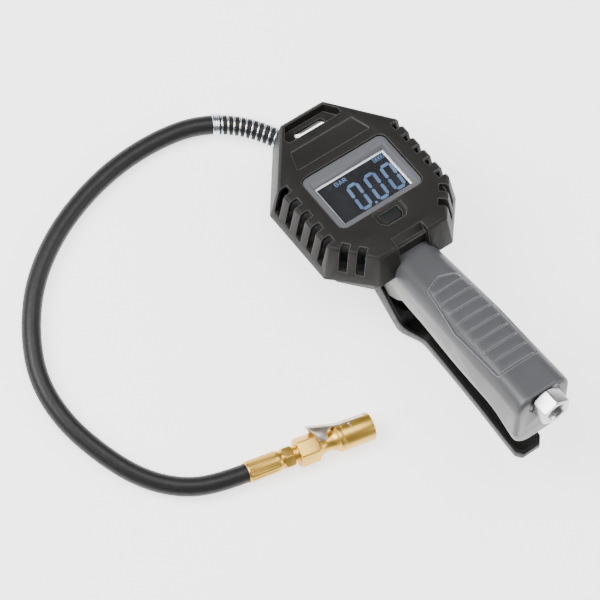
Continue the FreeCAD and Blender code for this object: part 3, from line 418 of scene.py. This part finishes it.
# The guard's coil: where it starts along the hose, its open run and how tightly its ends are wound
GUARD_START, GUARD_OPEN_RUN, GUARD_OPEN_PITCH = 0.9 * MM, 59.0 * MM, 4.0 * MM
GUARD_CLOSE_PITCH, GUARD_CLOSE_TURNS, GUARD_FIRST_RUN = GUARD_WIRE * 1.04, 3.3, 2.2 * GUARD_WIRE
LINE_STEP, WIRE_TURN, WIRE_FIRST_TURN = 0.25 * MM, math.radians(12), 0.6


def hose_line(name, bevel):
    data = bpy.data.curves.new(name, "CURVE")
    data.dimensions = "3D"
    data.bevel_depth = bevel
    data.bevel_resolution = 10
    data.resolution_u = 16
    data.use_fill_caps = bool(bevel)
    spline = data.splines.new("NURBS")
    spline.points.add(len(hose_points) - 1)
    for point, place in zip(spline.points, hose_points):
        point.co = (*place, 1.0)
    spline.order_u = 3
    spline.use_endpoint_u = True
    line = bpy.data.objects.new(name, data)
    bpy.context.scene.collection.objects.link(line)
    return line


hose = hose_line("air_hose", HOSE_DIAMETER / 2)
hose.data.materials.append(hose_rubber)
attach(hose, "tool")
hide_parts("hose")

# The bare centre line of the same route, read once to wind the guard's coil round it
centre = hose_line("centre_line", 0.0)
line_mesh = bpy.data.meshes.new_from_object(centre)
centre_points = [v.co.copy() for v in line_mesh.vertices]
bpy.data.meshes.remove(line_mesh)
bpy.data.objects.remove(centre)


def along_line(points, step):
    """Points every step along a line of points."""
    result, spare = [points[0].copy()], 0.0
    for a, b in zip(points, points[1:]):
        run = (b - a).length
        while spare + run >= step:
            t = (step - spare) / run
            a = a.lerp(b, t)
            run *= 1.0 - t
            spare = 0.0
            result.append(a.copy())
        spare += run
    return result


def guard_coil():
    """The spring guard: open turns from the outlet, then three close turns that grip the hose."""
    line = along_line(centre_points, LINE_STEP)
    frames = carried_frames(line)
    open_end = GUARD_START + GUARD_OPEN_RUN
    end = open_end + GUARD_CLOSE_TURNS * GUARD_CLOSE_PITCH
    radius = (GUARD_DIAMETER - GUARD_WIRE) / 2
    points, angle, place = [], WIRE_FIRST_TURN, GUARD_START
    while place < end:
        near_end = place > open_end or place < GUARD_START + GUARD_FIRST_RUN
        pitch = GUARD_CLOSE_PITCH if near_end else GUARD_OPEN_PITCH
        k = min(int(place / LINE_STEP), len(line) - 1)
        ahead, across, over = frames[k]
        centre_point = line[k] + ahead * (place - k * LINE_STEP)
        points.append(centre_point + (across * math.cos(angle) + over * math.sin(angle)) * radius)
        angle += WIRE_TURN
        place += pitch * WIRE_TURN / math.tau
    return make_piece("guard_coil", *wire(points, GUARD_WIRE / 2, 10), spring_zinc, "tool", "spring_steel")


guard = guard_coil()
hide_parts("spring_guard")

# ---------------------------------------------------------------- what the display shows
# Seven-segment digits, the unit and a charge gauge lie just on the display glass.

SEGMENT_Z = -5.78
DIGIT_WIDTH, DIGIT_HEIGHT, DIGIT_STROKE = 9.2, 21.6, 2.3
DIGIT_BASE, DIGIT_SLANT = -15.9, 0.072
DIGIT_LEFTS = (-11.1, 2.2, 15.1)
MARK_THICK = 0.04
POINT_OUTLINE = [(-0.6, -15.9), (1.0, -15.9), (1.1, -14.3), (-0.5, -14.3)]
UNIT_LEFT, UNIT_BASE, UNIT_PITCH, UNIT_HEIGHT, UNIT_WIDTH, UNIT_STROKE = -13.4, 9.0, 3.1, 2.7, 2.2, 0.5
CHARGE_LEFT, CHARGE_BASE, CHARGE_HEIGHT, CHARGE_WIDTH, CHARGE_STROKE = 17.2, 9.8, 3.0, 7.7, 0.3
CELL_LEFT, CELL_PITCH, CELL_BASE, CELL_TOP = 18.6, 2.0, 10.4, 12.2


def segment_outline(a, b, stroke, gap=0.22):
    """A bar from a to b with pointed ends, as (x, y) corners."""
    a, b = Vector(a), Vector(b)
    ahead = (b - a).normalized()
    side = Vector((-ahead.y, ahead.x)) * stroke / 2
    a, b = a + ahead * gap, b - ahead * gap
    tip = ahead * stroke / 2
    return [a, a + tip - side, b - tip - side, b, b - tip + side, a + tip + side]


def nought(left):
    """The six lit segments of a nought whose lower left corner is at left."""
    h = DIGIT_STROKE / 2
    x0, x1 = h, DIGIT_WIDTH - h
    y0, y1, y2 = h, DIGIT_HEIGHT / 2, DIGIT_HEIGHT - h
    bars = [((x0, y0), (x0, y1)), ((x0, y1), (x0, y2)), ((x1, y0), (x1, y1)), ((x1, y1), (x1, y2)),
            ((x0, y0), (x1, y0)), ((x0, y2), (x1, y2))]
    result = []
    for a, b in bars:
        corners = segment_outline(a, b, DIGIT_STROKE)
        result.append([(left + p.x + DIGIT_SLANT * p.y, DIGIT_BASE + p.y) for p in corners])
    return result


def strokes(left, base, height, width, thick, lines):
    """Letters made of straight strokes, given in a box one wide and one high."""
    result = []
    for (ax, ay), (bx, by) in lines:
        a = Vector((left + ax * width, base + ay * height))
        b = Vector((left + bx * width, base + by * height))
        ahead = (b - a).normalized() * thick * 0.5
        side = Vector((-ahead.y, ahead.x))
        result.append([tuple(a - ahead - side), tuple(b + ahead - side), tuple(b + ahead + side),
                       tuple(a - ahead + side)])
    return result


LETTERS = {
    "B": [((0, 0), (0, 1)), ((0, 0), (0.75, 0)), ((0, 0.5), (0.75, 0.5)), ((0, 1), (0.75, 1)),
          ((0.95, 0.12), (0.95, 0.38)), ((0.95, 0.62), (0.95, 0.88))],
    "A": [((0, 0), (0.42, 1)), ((0.95, 0), (0.53, 1)), ((0.22, 0.32), (0.74, 0.32))],
    "R": [((0, 0), (0, 1)), ((0, 0.5), (0.72, 0.5)), ((0, 1), (0.72, 1)), ((0.92, 0.62), (0.92, 0.88)),
          ((0.5, 0.42), (0.95, 0))],
}


def display_marks():
    outlines = []
    for left in DIGIT_LEFTS:
        outlines += nought(left)
    outlines.append(POINT_OUTLINE)
    for k, letter in enumerate("BAR"):
        outlines += strokes(UNIT_LEFT + UNIT_PITCH * k, UNIT_BASE, UNIT_HEIGHT, UNIT_WIDTH, UNIT_STROKE,
                            LETTERS[letter])
    for k in range(3):
        x = CELL_LEFT + CELL_PITCH * k
        outlines.append([(x, CELL_BASE), (x + 1.4, CELL_BASE), (x + 1.55, CELL_TOP), (x + 0.15, CELL_TOP)])
    gauge = [((0, 0), (1, 0)), ((1, 0), (1.02, 1)), ((1.02, 1), (0.02, 1)), ((0.02, 1), (0, 0)),
             ((1.05, 0.3), (1.06, 0.7)), ((0.09, 0.15), (0.1, 0.85))]
    outlines += strokes(CHARGE_LEFT, CHARGE_BASE, CHARGE_HEIGHT, CHARGE_WIDTH, CHARGE_STROKE, gauge)
    vertices, faces = [], []
    for corners in outlines:
        n, first = len(corners), len(vertices)
        for z in (SEGMENT_Z, SEGMENT_Z + MARK_THICK):
            vertices += [lay(x, y, z) for x, y in corners]
        faces.append(tuple(first + n + j for j in range(n)))
        faces.append(tuple(first + n - 1 - j for j in range(n)))
        for j in range(n):
            k = (j + 1) % n
            faces.append((first + j, first + k, first + n + k, first + n + j))
    return make_piece("display_marks", vertices, faces, display_blue, "tool", "lcd_glass", smooth=False)


display_marks()

# ---------------------------------------------------------------- floor and light


def studio_floor():
    """Seamless matt paper lit from behind, swept wide so that its edge is never seen."""
    material, tree, shader, place = new_material("matt background paper")
    fibre = noise(tree, place, 1.5, 3.0)
    tree.links.new(mix(tree, fibre, colour("F0F0F0"), colour("F5F5F5")), shader.inputs["Base Color"])
    shader.inputs["Roughness"].default_value = 0.9
    shader.inputs["Emission Color"].default_value = colour("FFFFFF")
    shader.inputs["Emission Strength"].default_value = 1.9
    size = 4.0
    corners = [(-size, -size, 0), (size, -size, 0), (size, size, 0), (-size, size, 0)]
    return make_piece("studio_floor", corners, [(0, 1, 2, 3)], material, None, None, smooth=False)


studio_floor()


def softbox(name, place, aim, width, height, power):
    light = bpy.data.lights.new(name, "AREA")
    light.shape, light.size, light.size_y, light.energy = "RECTANGLE", width, height, power
    lamp = bpy.data.objects.new(name, light)
    lamp.location = place
    lamp.rotation_euler = (Vector(aim) - Vector(place)).to_track_quat("-Z", "Y").to_euler()
    bpy.context.scene.collection.objects.link(lamp)
    return lamp


middle = (-0.1, 0.0, 0.03)
softbox("key_softbox", (-1.1, 0.7, 1.3), middle, 1.2, 0.9, 50)
softbox("fill_softbox", (1.1, -0.9, 0.9), middle, 1.0, 1.0, 16)
softbox("top_softbox", (0.1, 0.4, 1.8), middle, 1.4, 1.0, 26)
world = bpy.data.worlds.new("studio")
bpy.context.scene.world = world
world.use_nodes = True
world.node_tree.nodes["Background"].inputs["Color"].default_value = colour("F2F4F8")
world.node_tree.nodes["Background"].inputs["Strength"].default_value = 0.32
